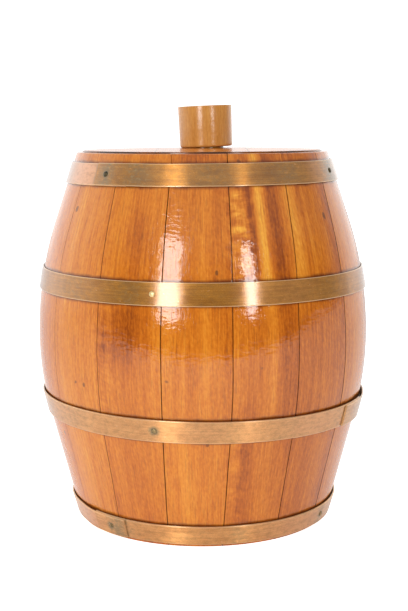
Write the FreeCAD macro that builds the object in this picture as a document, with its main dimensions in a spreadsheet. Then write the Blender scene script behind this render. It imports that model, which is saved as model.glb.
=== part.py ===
import FreeCAD, Part
import math
import os
import Sketcher
from FreeCAD import Placement, Rotation, Vector

# Small coopered oak barrel: sixteen staves, four nailed strip hoops, a boarded bottom head
# in its croze, a boarded lift-off lid in a rabbet and a loose turned stopper.
# Frame: millimetres, +Z up, origin on the barrel's axis at the staves' feet, front towards -Y.
# Bearings round the barrel are degrees from the front, positive towards +X.

# ---------------------------------------------------------------- driving dimensions

SIZES = {
    # staves
    "stave_count": 16,
    "first_stave_bearing": -1.85,
    "seam_gap_angle": 0.06,
    "stave_length": 291.0,
    "stave_thickness": 12.0,
    "rim_radius": 98.9,
    "bilge_radius": 131.6,
    "bilge_height": 147.0,
    "base_radius": 101.4,
    "upper_curve": 285.0,
    "lower_curve": 244.0,
    "rabbet_radius": 94.3,
    "rabbet_depth": 8.0,
    "croze_radius": 98.4,
    "croze_height": 14.0,
    "croze_width": 6.4,
    "chime_height": 8.0,
    "chime_width": 5.6,
    # hoops, each given by the two edges of its inner face
    "hoop_thickness": 1.2,
    "lap_length": 30.0,
    "top_hoop_low": 268.0,
    "top_hoop_high": 284.0,
    "top_hoop_low_radius": 107.1,
    "top_hoop_high_radius": 101.7,
    "upper_hoop_low": 185.3,
    "upper_hoop_high": 202.0,
    "upper_hoop_low_radius": 129.4,
    "upper_hoop_high_radius": 126.6,
    "lower_hoop_low": 85.8,
    "lower_hoop_high": 102.6,
    "lower_hoop_low_radius": 124.7,
    "lower_hoop_high_radius": 128.8,
    "base_hoop_low": 2.6,
    "base_hoop_high": 17.6,
    "base_hoop_low_radius": 102.5,
    "base_hoop_high_radius": 106.9,
    # round-headed nails
    "nail_head_radius": 2.1,
    "nail_head_height": 0.8,
    "nail_shank_radius": 0.8,
    "nail_length": 8.0,
    # bottom head
    "head_radius": 98.1,
    "head_thickness": 11.0,
    "head_tongue": 6.0,
    "head_tongue_radius": 93.6,
    "head_top_radius": 89.0,
    "head_seat_gap": 0.2,
    # lid
    "lid_radius": 93.7,
    "lid_edge_height": 8.7,
    "lid_bevel_radius": 93.2,
    "lid_bevel_height": 9.2,
    "lid_crown_height": 10.6,
    "lid_seat_gap": 0.05,
    # boards and their dowels, in the head and in the lid
    "centre_board_width": 68.0,
    "board_gap": 0.1,
    "dowel_radius": 3.0,
    "dowel_length": 24.0,
    "dowel_reach": 66.0,
    "dowel_play": 0.05,
    # battens and screws under the lid
    "batten_length": 124.0,
    "batten_width": 22.0,
    "batten_thickness": 9.0,
    "batten_offset": 42.0,
    "screw_spacing": 52.0,
    "screw_radius": 1.8,
    "screw_length": 16.0,
    "screw_head_radius": 3.6,
    "screw_head_height": 2.2,
    "screw_play": 0.15,
    # stopper and its hole
    "stopper_height": 32.0,
    "stopper_foot_radius": 20.7,
    "stopper_top_radius": 21.2,
    "stopper_foot_round": 2.0,
    "stopper_top_chamfer": 0.5,
    "spigot_radius": 13.6,
    "spigot_length": 15.0,
    "spigot_chamfer": 1.0,
    "stopper_lean": 2.2,
    "stopper_offset": 3.4,
    "stopper_lift": 3.39,
    "bung_hole_radius": 14.3,
    "bung_hole_offset": 3.6,
}

# Each hoop: sheet prefix, bearing of its lap, tilt towards +X in degrees, bearings of its nails.
HOOPS = {
    "hoop_top": ("top_hoop", -38.8, -0.35, (-41.2, 67.0, 180.0)),
    "hoop_upper_bilge": ("upper_hoop", 164.0, 0.10, (-16.0, 104.0, -136.0)),
    "hoop_lower_bilge": ("lower_hoop", 63.5, 0.70, (-16.0, 104.0, -136.0)),
    "hoop_base": ("base_hoop", -42.0, 0.30, (-41.2, 60.0, 172.0)),
}

Z_AXIS = Vector(0, 0, 1)
Y_AXIS = Vector(0, 1, 0)
CENTRE = 3
START = 1
END = 2

doc = FreeCAD.newDocument("oak_barrel")
sheet = doc.addObject("Spreadsheet::Sheet", "sizes")


def fill_sheet():
    for row, (alias, value) in enumerate(SIZES.items(), start=1):
        sheet.set(f"A{row}", alias)
        sheet.set(f"B{row}", str(value))
        sheet.setAlias(f"B{row}", alias)
    doc.recompute()


def size(alias):
    return float(sheet.get(alias))


def turned(bearing):
    """Rotation that brings the +X side of a piece to a bearing."""
    return Rotation(Z_AXIS, bearing - 90.0)


# ---------------------------------------------------------------- sketch helpers

def section_sketch(body, name):
    """An empty sketch on the body's own XZ plane: x is the radius and y the height."""
    sketch = body.newObject("Sketcher::SketchObject", name)
    planes = [p for p in body.Origin.OriginFeatures if p.Role == "XZ_Plane"]
    sketch.AttachmentSupport = [(planes[0], "")]
    sketch.MapMode = "FlatFace"
    return sketch


def constrain(sketch, expression, *arguments):
    """Add a dimension and bind it to the sheet."""
    index = sketch.addConstraint(Sketcher.Constraint(*arguments))
    sketch.setExpression(f"Constraints[{index}]", expression)


def pin_radius(sketch, edge, end, expression, value):
    constrain(sketch, expression, "DistanceX", -1, 1, edge, end, value)


def pin_height(sketch, edge, end, expression, value):
    constrain(sketch, expression, "DistanceY", -1, 1, edge, end, value)


def closed_outline(sketch, points):
    """Straight edges through the points, joined end to start; edge i leaves point i."""
    count = len(points)
    for i in range(count):
        a = Vector(*points[i], 0)
        b = Vector(*points[(i + 1) % count], 0)
        sketch.addGeometry(Part.LineSegment(a, b))
    for i in range(count):
        sketch.addConstraint(Sketcher.Constraint("Coincident", i, END, (i + 1) % count, START))


def revolve(body, sketch, name, angle):
    """Turn a sketch about the barrel's axis, half of the angle each way."""
    feature = body.newObject("PartDesign::Revolution", name)
    feature.Profile = sketch
    feature.ReferenceAxis = (sketch, ["V_Axis"])
    feature.setExpression("Angle", angle)
    feature.Midplane = True
    return feature


# ---------------------------------------------------------------- staves

def tangent_angle(curve, end_radius, end_height, side):
    """Angle on the bilge arc where the straight end of the stave leaves it."""
    centre_radius = size("bilge_radius") - curve
    run = end_radius - centre_radius
    rise = abs(end_height - size("bilge_height"))
    reach = math.hypot(run, rise)
    return side * (math.atan2(rise, run) - math.acos(curve / reach))


def on_arc(curve, angle, inset=0.0):
    radius = size("bilge_radius") - curve + (curve - inset) * math.cos(angle)
    height = size("bilge_height") + (curve - inset) * math.sin(angle)
    return Vector(radius, height, 0)


def along(start, angle, height):
    """The point at a height on the line that leaves an arc at an angle."""
    return Vector(start.x - (height - start.y) * math.tan(angle), height, 0)


def arc_edge(curve, inset, low, high):
    centre = Vector(size("bilge_radius") - curve, size("bilge_height"), 0)
    return Part.ArcOfCircle(Part.Circle(centre, Z_AXIS, curve - inset), low, high)


def stave_outline():
    """The section's edges: up the outside, over the rabbet, down the inside past the croze."""
    upper = size("upper_curve")
    lower = size("lower_curve")
    wall = size("stave_thickness")
    top = size("stave_length")
    seat = top - size("rabbet_depth")
    groove = size("croze_height")
    groove_top = groove + size("croze_width")
    rise = tangent_angle(upper, size("rim_radius"), top, 1)
    fall = tangent_angle(lower, size("base_radius"), 0.0, -1)
    foot_in = on_arc(lower, fall, wall)
    seat_in = on_arc(upper, rise, wall)
    corners = [
        Vector(size("rim_radius"), top, 0),
        Vector(size("rabbet_radius"), top, 0),
        Vector(size("rabbet_radius"), seat, 0),
        along(seat_in, rise, seat),
    ]
    groove_points = [
        along(foot_in, fall, groove_top),
        Vector(size("croze_radius"), groove_top, 0),
        Vector(size("croze_radius"), groove, 0),
        along(foot_in, fall, groove),
        along(foot_in, fall, size("chime_height")),
        Vector(size("base_radius") - size("chime_width"), 0, 0),
        Vector(size("base_radius"), 0, 0),
    ]
    edges = [
        Part.LineSegment(groove_points[-1], on_arc(lower, fall)),
        arc_edge(lower, 0.0, fall, 0.0),
        arc_edge(upper, 0.0, 0.0, rise),
        Part.LineSegment(on_arc(upper, rise), corners[0]),
    ]
    edges += [Part.LineSegment(a, b) for a, b in zip(corners, corners[1:])]
    edges += [
        Part.LineSegment(corners[-1], seat_in),
        arc_edge(upper, wall, 0.0, rise),
        arc_edge(lower, wall, fall, 0.0),
        Part.LineSegment(foot_in, groove_points[0]),
    ]
    edges += [Part.LineSegment(a, b) for a, b in zip(groove_points, groove_points[1:])]
    return edges


# Edge numbers of the stave section, in the order of stave_outline().
(FOOT, LOW_ARC, HIGH_ARC, SHOULDER, RIM, RABBET_WALL, RABBET_SEAT, NECK_IN, HIGH_ARC_IN,
 LOW_ARC_IN, FOOT_IN, CROZE_TOP, CROZE_WALL, CROZE_LOW, CHIME_WALL, CHIME, SOLE) = range(17)


def shape_stave_section(sketch):
    for edge in stave_outline():
        sketch.addGeometry(edge)
    smooth_joins = [
        (FOOT, END, LOW_ARC, START),
        (LOW_ARC, END, HIGH_ARC, START),
        (HIGH_ARC, END, SHOULDER, START),
        (NECK_IN, END, HIGH_ARC_IN, END),
        (HIGH_ARC_IN, START, LOW_ARC_IN, END),
        (LOW_ARC_IN, START, FOOT_IN, START),
    ]
    for join in smooth_joins:
        sketch.addConstraint(Sketcher.Constraint("Tangent", *join))
    for first in (SHOULDER, RIM, RABBET_WALL, RABBET_SEAT):
        sketch.addConstraint(Sketcher.Constraint("Coincident", first, END, first + 1, START))
    for first in range(FOOT_IN, SOLE):
        sketch.addConstraint(Sketcher.Constraint("Coincident", first, END, first + 1, START))
    sketch.addConstraint(Sketcher.Constraint("Coincident", SOLE, END, FOOT, START))
    for level in (RIM, RABBET_SEAT, CROZE_TOP, CROZE_LOW, SOLE):
        sketch.addConstraint(Sketcher.Constraint("Horizontal", level))
    for upright in (RABBET_WALL, CROZE_WALL):
        sketch.addConstraint(Sketcher.Constraint("Vertical", upright))
    sketch.addConstraint(Sketcher.Constraint("Coincident", HIGH_ARC_IN, CENTRE, HIGH_ARC, CENTRE))
    sketch.addConstraint(Sketcher.Constraint("Coincident", LOW_ARC_IN, CENTRE, LOW_ARC, CENTRE))
    sketch.addConstraint(Sketcher.Constraint("Horizontal", HIGH_ARC, CENTRE, HIGH_ARC, START))
    sketch.addConstraint(Sketcher.Constraint("Parallel", NECK_IN, SHOULDER))
    sketch.addConstraint(Sketcher.Constraint("Parallel", FOOT_IN, FOOT))
    sketch.addConstraint(Sketcher.Constraint("Tangent", CHIME_WALL, FOOT_IN))


def size_stave_section(sketch):
    top = size("stave_length")
    wall = size("stave_thickness")
    groove = size("croze_height")
    pin_radius(sketch, FOOT, START, "sizes.base_radius", size("base_radius"))
    sketch.addConstraint(Sketcher.Constraint("PointOnObject", FOOT, START, -1))
    pin_radius(sketch, RIM, START, "sizes.rim_radius", size("rim_radius"))
    pin_height(sketch, RIM, START, "sizes.stave_length", top)
    pin_radius(sketch, HIGH_ARC, START, "sizes.bilge_radius", size("bilge_radius"))
    pin_height(sketch, HIGH_ARC, START, "sizes.bilge_height", size("bilge_height"))
    constrain(sketch, "sizes.lower_curve", "Radius", LOW_ARC, size("lower_curve"))
    constrain(sketch, "sizes.upper_curve", "Radius", HIGH_ARC, size("upper_curve"))
    inner = "sizes.upper_curve - sizes.stave_thickness"
    constrain(sketch, inner, "Radius", HIGH_ARC_IN, size("upper_curve") - wall)
    pin_radius(sketch, RABBET_WALL, START, "sizes.rabbet_radius", size("rabbet_radius"))
    seat = "sizes.stave_length - sizes.rabbet_depth"
    pin_height(sketch, RABBET_SEAT, START, seat, top - size("rabbet_depth"))
    pin_radius(sketch, CROZE_WALL, START, "sizes.croze_radius", size("croze_radius"))
    pin_height(sketch, CROZE_WALL, END, "sizes.croze_height", groove)
    groove_top = "sizes.croze_height + sizes.croze_width"
    pin_height(sketch, CROZE_WALL, START, groove_top, groove + size("croze_width"))
    pin_height(sketch, CHIME, START, "sizes.chime_height", size("chime_height"))
    sole = "sizes.base_radius - sizes.chime_width"
    pin_radius(sketch, SOLE, START, sole, size("base_radius") - size("chime_width"))


def make_stave(number):
    body = doc.addObject("PartDesign::Body", f"stave_{number:02d}")
    sketch = section_sketch(body, f"stave_section_{number:02d}")
    shape_stave_section(sketch)
    size_stave_section(sketch)
    revolve(body, sketch, f"stave_turn_{number:02d}", "360 / sizes.stave_count - sizes.seam_gap_angle")
    step = 360.0 / size("stave_count")
    body.Placement = Placement(Vector(), turned(size("first_stave_bearing") + step * (number - 1)))
    return body


# ---------------------------------------------------------------- hoops and their nails

def strip_sketch(body, name, prefix, inset, layers):
    """A flat strip's slanted section, starting inset outside the hoop's inner face."""
    low = Vector(size(f"{prefix}_low_radius"), size(f"{prefix}_low"), 0)
    high = Vector(size(f"{prefix}_high_radius"), size(f"{prefix}_high"), 0)
    rise = (high - low).normalize()
    outward = Vector(rise.y, -rise.x, 0)
    inner_low = low + outward * inset
    inner_high = high + outward * inset
    width = size("hoop_thickness") * layers
    points = [inner_low, inner_low + outward * width, inner_high + outward * width, inner_high]
    sketch = section_sketch(body, name)
    closed_outline(sketch, [(p.x, p.y) for p in points])
    sketch.addConstraint(Sketcher.Constraint("Perpendicular", 0, 3))
    sketch.addConstraint(Sketcher.Constraint("Perpendicular", 2, 3))
    sketch.addConstraint(Sketcher.Constraint("Parallel", 1, 3))
    constrain(sketch, f"sizes.hoop_thickness * {layers}", "Distance", 0, width)
    shift = outward * inset
    pin_radius(sketch, 0, START, f"sizes.{prefix}_low_radius + {shift.x}", inner_low.x)
    pin_height(sketch, 0, START, f"sizes.{prefix}_low + {shift.y}", inner_low.y)
    pin_radius(sketch, 3, START, f"sizes.{prefix}_high_radius + {shift.x}", inner_high.x)
    pin_height(sketch, 3, START, f"sizes.{prefix}_high + {shift.y}", inner_high.y)
    return sketch


def tilt_placement(prefix, tilt):
    """Tips a hoop towards +X about its own middle."""
    middle = Vector(0, 0, (size(f"{prefix}_low") + size(f"{prefix}_high")) / 2)
    return Placement(Vector(), Rotation(Y_AXIS, tilt), middle)


def make_hoop(name, prefix, lap_bearing, tilt):
    """A strip bent round the staves, with its outer end lapped over its inner end."""
    body = doc.addObject("PartDesign::Body", name)
    ring = strip_sketch(body, f"{name}_strip", prefix, 0.0, 1)
    revolve(body, ring, f"{name}_ring", "360")
    half = size("hoop_thickness") / 2
    lap = strip_sketch(body, f"{name}_lap_strip", prefix, half, 1.5)
    angle = f"sizes.lap_length / sizes.{prefix}_low_radius * 180 / pi"
    revolve(body, lap, f"{name}_lap", angle)
    body.Placement = tilt_placement(prefix, tilt) * Placement(Vector(), turned(lap_bearing))
    return body


def on_lap(bearing, prefix, lap_bearing):
    half_angle = math.degrees(size("lap_length") / size(f"{prefix}_low_radius")) / 2
    return abs(bearing - lap_bearing) < half_angle


def nail_placement(prefix, lap_bearing, bearing):
    """Seats a nail's head on the strip's outer face, its shank pointing into the stave."""
    rise = size(f"{prefix}_high") - size(f"{prefix}_low")
    taper = size(f"{prefix}_high_radius") - size(f"{prefix}_low_radius")
    slant = math.degrees(math.atan2(-taper, rise))
    layers = 2 if on_lap(bearing, prefix, lap_bearing) else 1
    radius = (size(f"{prefix}_high_radius") + size(f"{prefix}_low_radius")) / 2
    height = (size(f"{prefix}_high") + size(f"{prefix}_low")) / 2
    stand = size("hoop_thickness") * layers / math.cos(math.radians(slant))
    seat = Placement(Vector(radius + stand, 0, height), Rotation(Y_AXIS, 90.0 - slant))
    return Placement(Vector(), turned(bearing)) * seat


def make_nail(name):
    """A domed head on a plain shank, the underside of the head at the nail's origin."""
    head = size("nail_head_radius")
    dome = size("nail_head_height")
    ball_radius = (head**2 + dome**2) / (2 * dome)
    ball = doc.addObject("Part::Sphere", f"{name}_head")
    radius = "(sizes.nail_head_radius^2 + sizes.nail_head_height^2) / (2 * sizes.nail_head_height)"
    ball.setExpression("Radius", radius)
    ball.setExpression("Angle1", f"asin(1 - sizes.nail_head_height / ({radius}))")
    ball.Placement.Base = Vector(0, 0, dome - ball_radius)
    shank = doc.addObject("Part::Cylinder", f"{name}_shank")
    shank.setExpression("Radius", "sizes.nail_shank_radius")
    shank.setExpression("Height", "sizes.nail_length + sizes.nail_head_height / 2")
    shank.Placement.Base = Vector(0, 0, -size("nail_length"))
    nail = doc.addObject("Part::Fuse", name)
    nail.Base = ball
    nail.Tool = shank
    return nail


def make_nails(hoop_name, prefix, lap_bearing, tilt, bearings):
    nails = []
    for number, bearing in enumerate(bearings, start=1):
        nail = make_nail(f"{prefix}_nail_{number}")
        nail.Placement = nail_placement(prefix, lap_bearing, bearing)
        nails.append(nail)
    group = doc.addObject("Part::Compound", f"{hoop_name}_nails")
    group.Links = nails
    group.Placement = tilt_placement(prefix, tilt)
    return group


# ---------------------------------------------------------------- boards

def cylinder(name, radius, height, placement):
    shape = doc.addObject("Part::Cylinder", name)
    shape.setExpression("Radius", radius)
    shape.setExpression("Height", height)
    shape.Placement = placement
    return shape


def dowel_places(height):
    """Two dowels across each of the two seams beside the centre board."""
    half = size("dowel_length") / 2
    lay_down = Rotation(Y_AXIS, 90.0)
    places = []
    for side in (-1, 1):
        for reach in (-1, 1):
            x = side * size("centre_board_width") / 2 - half
            places.append(Placement(Vector(x, reach * size("dowel_reach"), height), lay_down))
    return places


def compound(name, pieces):
    group = doc.addObject("Part::Compound", name)
    group.Links = pieces
    return group


def make_dowels(name, height):
    places = dowel_places(height)
    pins = [
        cylinder(f"{name}_{i}", "sizes.dowel_radius", "sizes.dowel_length", place)
        for i, place in enumerate(places, start=1)
    ]
    return compound(name, pins)


def dowel_holes(name, height):
    """Round holes a little wider and longer than the dowels."""
    shift = Placement(Vector(0, 0, -size("dowel_play")), Rotation())
    holes = []
    for i, place in enumerate(dowel_places(height), start=1):
        radius = "sizes.dowel_radius + sizes.dowel_play"
        length = "sizes.dowel_length + 2 * sizes.dowel_play"
        holes.append(cylinder(f"{name}_{i}", radius, length, place * shift))
    return compound(name, holes)


def make_board(name, disc, column, holes):
    """One board of a round panel: the disc inside a strip, less its holes.

    column is -1, 0 or 1 for the left, centre and right board.
    """
    strip = doc.addObject("Part::Box", f"{name}_strip")
    if column == 0:
        strip.setExpression("Length", "sizes.centre_board_width - sizes.board_gap")
    else:
        strip.setExpression("Length", "2 * sizes.rim_radius")
    strip.setExpression("Width", "4 * sizes.rim_radius")
    strip.setExpression("Height", "3 * sizes.stave_length")
    seam = (size("centre_board_width") + size("board_gap")) / 2
    left_edges = {
        -1: -seam - 2 * size("rim_radius"),
        0: (size("board_gap") - size("centre_board_width")) / 2,
        1: seam,
    }
    strip.Placement.Base = Vector(left_edges[column], -2 * size("rim_radius"), -size("stave_length"))
    blank = doc.addObject("Part::Common", f"{name}_blank")
    blank.Base = disc
    blank.Tool = strip
    board = doc.addObject("Part::Cut", name)
    board.Base = blank
    board.Tool = holes
    return board


def make_disc(name, points, pins):
    """A full round panel turned from a half section; pins are (edge, radius, height) cells."""
    body = doc.addObject("PartDesign::Body", name)
    sketch = section_sketch(body, f"{name}_section")
    closed_outline(sketch, points)
    for edge, radius, height in pins:
        x, y = points[edge]
        if x > 0:
            pin_radius(sketch, edge, START, radius, x)
        else:
            sketch.addConstraint(Sketcher.Constraint("PointOnObject", edge, START, -2))
        pin_height(sketch, edge, START, height, y)
    revolve(body, sketch, f"{name}_turn", "360")
    return body


def make_head():
    """Bottom head: three dowelled boards with a tongue round the edge that sits in the croze."""
    low = size("croze_height") + size("head_seat_gap")
    base = "sizes.croze_height + sizes.head_seat_gap"
    tongue = low + size("head_tongue")
    top = low + size("head_thickness")
    points = [
        (0.0, low),
        (size("head_radius"), low),
        (size("head_radius"), tongue),
        (size("head_tongue_radius"), tongue),
        (size("head_top_radius"), top),
        (0.0, top),
    ]
    pins = [
        (0, "", base),
        (1, "sizes.head_radius", base),
        (2, "sizes.head_radius", f"{base} + sizes.head_tongue"),
        (3, "sizes.head_tongue_radius", f"{base} + sizes.head_tongue"),
        (4, "sizes.head_top_radius", f"{base} + sizes.head_thickness"),
        (5, "", f"{base} + sizes.head_thickness"),
    ]
    disc = make_disc("head_disc", points, pins)
    middle = low + size("head_thickness") / 2
    holes = dowel_holes("head_dowel_holes", middle)
    boards = [
        make_board("head_board_left", disc, -1, holes),
        make_board("head_board_centre", disc, 0, holes),
        make_board("head_board_right", disc, 1, holes),
    ]
    return boards + [make_dowels("head_dowels", middle)]


# ---------------------------------------------------------------- lid

def lid_floor():
    return size("stave_length") - size("rabbet_depth") + size("lid_seat_gap")


def make_lid_disc():
    """Lid blank: straight edge that stands proud of the rim, eased above, and a slightly crowned top."""
    base = "sizes.stave_length - sizes.rabbet_depth + sizes.lid_seat_gap"
    low = lid_floor()
    heights = ["lid_edge_height", "lid_bevel_height", "lid_crown_height"]
    edge, bevel, crown = [low + size(name) for name in heights]
    body = doc.addObject("PartDesign::Body", "lid_disc")
    sketch = section_sketch(body, "lid_section")
    corner = Vector(size("lid_radius"), low, 0)
    edge_top = Vector(size("lid_radius"), edge, 0)
    bevel_top = Vector(size("lid_bevel_radius"), bevel, 0)
    rise = crown - bevel
    crown_curve = (bevel_top.x**2 + rise**2) / (2 * rise)
    half_angle = math.asin(bevel_top.x / crown_curve)
    dome = Part.Circle(Vector(0, crown - crown_curve, 0), Z_AXIS, crown_curve)
    sketch.addGeometry(Part.LineSegment(Vector(0, low, 0), corner))
    sketch.addGeometry(Part.LineSegment(corner, edge_top))
    sketch.addGeometry(Part.LineSegment(edge_top, bevel_top))
    sketch.addGeometry(Part.ArcOfCircle(dome, math.pi / 2 - half_angle, math.pi / 2))
    sketch.addGeometry(Part.LineSegment(Vector(0, crown, 0), Vector(0, low, 0)))
    for first, end, second, start in ((0, 2, 1, 1), (1, 2, 2, 1), (2, 2, 3, 1), (3, 2, 4, 1), (4, 2, 0, 1)):
        sketch.addConstraint(Sketcher.Constraint("Coincident", first, end, second, start))
    sketch.addConstraint(Sketcher.Constraint("Horizontal", 0))
    sketch.addConstraint(Sketcher.Constraint("Vertical", 1))
    sketch.addConstraint(Sketcher.Constraint("PointOnObject", 0, START, -2))
    sketch.addConstraint(Sketcher.Constraint("PointOnObject", 3, END, -2))
    sketch.addConstraint(Sketcher.Constraint("PointOnObject", 3, CENTRE, -2))
    pin_radius(sketch, 1, START, "sizes.lid_radius", corner.x)
    pin_height(sketch, 1, START, base, low)
    pin_height(sketch, 2, START, f"{base} + sizes.lid_edge_height", edge)
    pin_radius(sketch, 3, START, "sizes.lid_bevel_radius", bevel_top.x)
    pin_height(sketch, 3, START, f"{base} + sizes.lid_bevel_height", bevel)
    pin_height(sketch, 3, END, f"{base} + sizes.lid_crown_height", crown)
    revolve(body, sketch, "lid_turn", "360")
    return body


def screw_points():
    """Three screws up through each batten, one into each board."""
    spacing = size("screw_spacing")
    offset = size("batten_offset")
    return [(x, y) for y in (-offset, offset) for x in (-spacing, 0.0, spacing)]


def batten_floor():
    return lid_floor() - size("lid_seat_gap") - size("batten_thickness")


def make_screw(name, x, y, play):
    """A countersunk wood screw pointing up, its head flush with the batten's underside."""
    floor = batten_floor()
    head = doc.addObject("Part::Cone", f"{name}_head")
    head.setExpression("Radius1", f"sizes.screw_head_radius + {play}")
    head.setExpression("Radius2", f"sizes.screw_radius + {play}")
    head.setExpression("Height", "sizes.screw_head_height")
    head.Placement.Base = Vector(x, y, floor)
    place = Placement(Vector(x, y, floor), Rotation())
    shank = cylinder(f"{name}_shank", f"sizes.screw_radius + {play}", "sizes.screw_length", place)
    screw = doc.addObject("Part::Fuse", name)
    screw.Base = head
    screw.Tool = shank
    return screw


def make_batten(name, side, holes):
    block = doc.addObject("Part::Box", f"{name}_block")
    block.setExpression("Length", "sizes.batten_length")
    block.setExpression("Width", "sizes.batten_width")
    block.setExpression("Height", "sizes.batten_thickness")
    middle = side * size("batten_offset") - size("batten_width") / 2
    block.Placement.Base = Vector(-size("batten_length") / 2, middle, batten_floor())
    batten = doc.addObject("Part::Cut", name)
    batten.Base = block
    batten.Tool = holes
    return batten


def make_lid():
    disc = make_lid_disc()
    middle = lid_floor() + size("lid_bevel_height") / 2
    bung_place = Placement(Vector(size("bung_hole_offset"), 0, 0), Rotation())
    bung_hole = cylinder("bung_hole", "sizes.bung_hole_radius", "2 * sizes.stave_length", bung_place)
    spots = list(enumerate(screw_points(), start=1))
    pilot_holes = [make_screw(f"pilot_hole_{i}", x, y, 0.0) for i, (x, y) in spots]
    cuts = compound("lid_cuts", [dowel_holes("lid_dowel_holes", middle), bung_hole] + pilot_holes)
    play = "sizes.screw_play"
    clearance_holes = [make_screw(f"screw_hole_{i}", x, y, play) for i, (x, y) in spots]
    screw_holes = compound("screw_holes", clearance_holes)
    screws = [make_screw(f"screw_{i}", x, y, 0.0) for i, (x, y) in spots]
    return [
        make_board("lid_board_left", disc, -1, cuts),
        make_board("lid_board_centre", disc, 0, cuts),
        make_board("lid_board_right", disc, 1, cuts),
        make_dowels("lid_dowels", middle),
        make_batten("lid_batten_front", -1, screw_holes),
        make_batten("lid_batten_back", 1, screw_holes),
        compound("lid_screws", screws),
    ]


# ---------------------------------------------------------------- stopper

def circular_edges(shape, height):
    """Names of the round edges at a height of a turned piece, outermost last."""
    found = []
    for number, edge in enumerate(shape.Edges, start=1):
        box = edge.BoundBox
        if abs(box.ZMin - height) < 1e-6 and abs(box.ZMax - height) < 1e-6:
            found.append((box.XLength, f"Edge{number}"))
    return [name for _, name in sorted(found)]


def make_stopper():
    """A turned plug: a broad grip above a narrower spigot, leaning in its hole."""
    foot = size("stopper_foot_radius")
    spigot = size("spigot_radius")
    height = size("stopper_height")
    depth = size("spigot_length")
    body = doc.addObject("PartDesign::Body", "stopper")
    sketch = section_sketch(body, "stopper_section")
    points = [
        (0.0, -depth),
        (spigot, -depth),
        (spigot, 0.0),
        (foot, 0.0),
        (size("stopper_top_radius"), height),
        (0.0, height),
    ]
    closed_outline(sketch, points)
    for axis_point in (0, 5):
        sketch.addConstraint(Sketcher.Constraint("PointOnObject", axis_point, START, -2))
    for level in (0, 4):
        sketch.addConstraint(Sketcher.Constraint("Horizontal", level))
    sketch.addConstraint(Sketcher.Constraint("Vertical", 1))
    for shoulder_point in (2, 3):
        sketch.addConstraint(Sketcher.Constraint("PointOnObject", shoulder_point, START, -1))
    constrain(sketch, "sizes.spigot_length", "DistanceY", 1, START, -1, 1, depth)
    pin_radius(sketch, 1, START, "sizes.spigot_radius", spigot)
    pin_radius(sketch, 3, START, "sizes.stopper_foot_radius", foot)
    pin_radius(sketch, 4, START, "sizes.stopper_top_radius", size("stopper_top_radius"))
    pin_height(sketch, 4, START, "sizes.stopper_height", height)
    turning = revolve(body, sketch, "stopper_turn", "360")
    doc.recompute()
    rounding = body.newObject("PartDesign::Fillet", "stopper_foot_round")
    rounding.Base = (turning, [circular_edges(turning.Shape, 0.0)[-1]])
    rounding.setExpression("Radius", "sizes.stopper_foot_round")
    doc.recompute()
    top_edge = circular_edges(rounding.Shape, height)[-1]
    bevel = body.newObject("PartDesign::Chamfer", "stopper_top_bevel")
    bevel.Base = (rounding, [top_edge])
    bevel.setExpression("Size", "sizes.stopper_top_chamfer")
    doc.recompute()
    tip_edge = circular_edges(bevel.Shape, -depth)[-1]
    tip = body.newObject("PartDesign::Chamfer", "spigot_bevel")
    tip.Base = (bevel, [tip_edge])
    tip.setExpression("Size", "sizes.spigot_chamfer")
    seat = size("stave_length") + size("stopper_lift")
    lean = Rotation(Y_AXIS, -size("stopper_lean"))
    body.Placement = Placement(Vector(size("stopper_offset"), 0, seat), lean)
    return body


# ---------------------------------------------------------------- build and write

def check_document():
    for item in doc.Objects:
        faults = {"Invalid", "Error"} & set(item.State)
        if faults:
            raise RuntimeError(f"{item.Name} is {faults}: {item.getStatusString()}")


def check_piece(piece):
    shape = piece.Shape
    if shape.isNull() or not shape.isValid() or not shape.Solids:
        raise RuntimeError(f"{piece.Label} has no valid solid")


def build():
    fill_sheet()
    pieces = [make_stave(number) for number in range(1, int(size("stave_count")) + 1)]
    for name, (prefix, lap_bearing, tilt, bearings) in HOOPS.items():
        pieces.append(make_hoop(name, prefix, lap_bearing, tilt))
        pieces.append(make_nails(name, prefix, lap_bearing, tilt, bearings))
    pieces += make_head()
    pieces += make_lid()
    pieces.append(make_stopper())
    return pieces


def main():
    pieces = build()
    doc.recompute()
    check_document()
    for piece in pieces:
        check_piece(piece)
    os.makedirs("parts", exist_ok=True)
    for piece in pieces:
        piece.Shape.exportStep(f"parts/{piece.Label}.step")
    print(f"{len(pieces)} sub-parts written")


main()
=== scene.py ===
import math
import random
from collections import namedtuple
from functools import reduce

import bpy
import numpy as np
from mathutils import Matrix, Vector


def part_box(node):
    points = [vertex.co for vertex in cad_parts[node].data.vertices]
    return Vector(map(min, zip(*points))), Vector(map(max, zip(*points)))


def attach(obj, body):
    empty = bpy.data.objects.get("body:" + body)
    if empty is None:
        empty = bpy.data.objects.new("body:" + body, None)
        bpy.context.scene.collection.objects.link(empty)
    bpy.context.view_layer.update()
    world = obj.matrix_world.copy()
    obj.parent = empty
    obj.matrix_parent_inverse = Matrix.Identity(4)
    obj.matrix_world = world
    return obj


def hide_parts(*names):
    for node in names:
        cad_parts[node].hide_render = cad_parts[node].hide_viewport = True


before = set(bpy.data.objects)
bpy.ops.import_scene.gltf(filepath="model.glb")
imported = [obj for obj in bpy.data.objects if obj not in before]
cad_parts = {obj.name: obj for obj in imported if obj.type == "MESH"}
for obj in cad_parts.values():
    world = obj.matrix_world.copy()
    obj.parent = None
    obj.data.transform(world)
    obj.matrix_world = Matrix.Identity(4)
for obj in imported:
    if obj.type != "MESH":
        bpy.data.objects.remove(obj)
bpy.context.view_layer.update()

# Looks for the small coopered barrel. Metres, +Z up, front towards -Y; bearings are degrees
# round the barrel from the front, positive towards +X, as in the CAD model.

# ---------------------------------------------------------------- sizes shared with the CAD model

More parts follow.
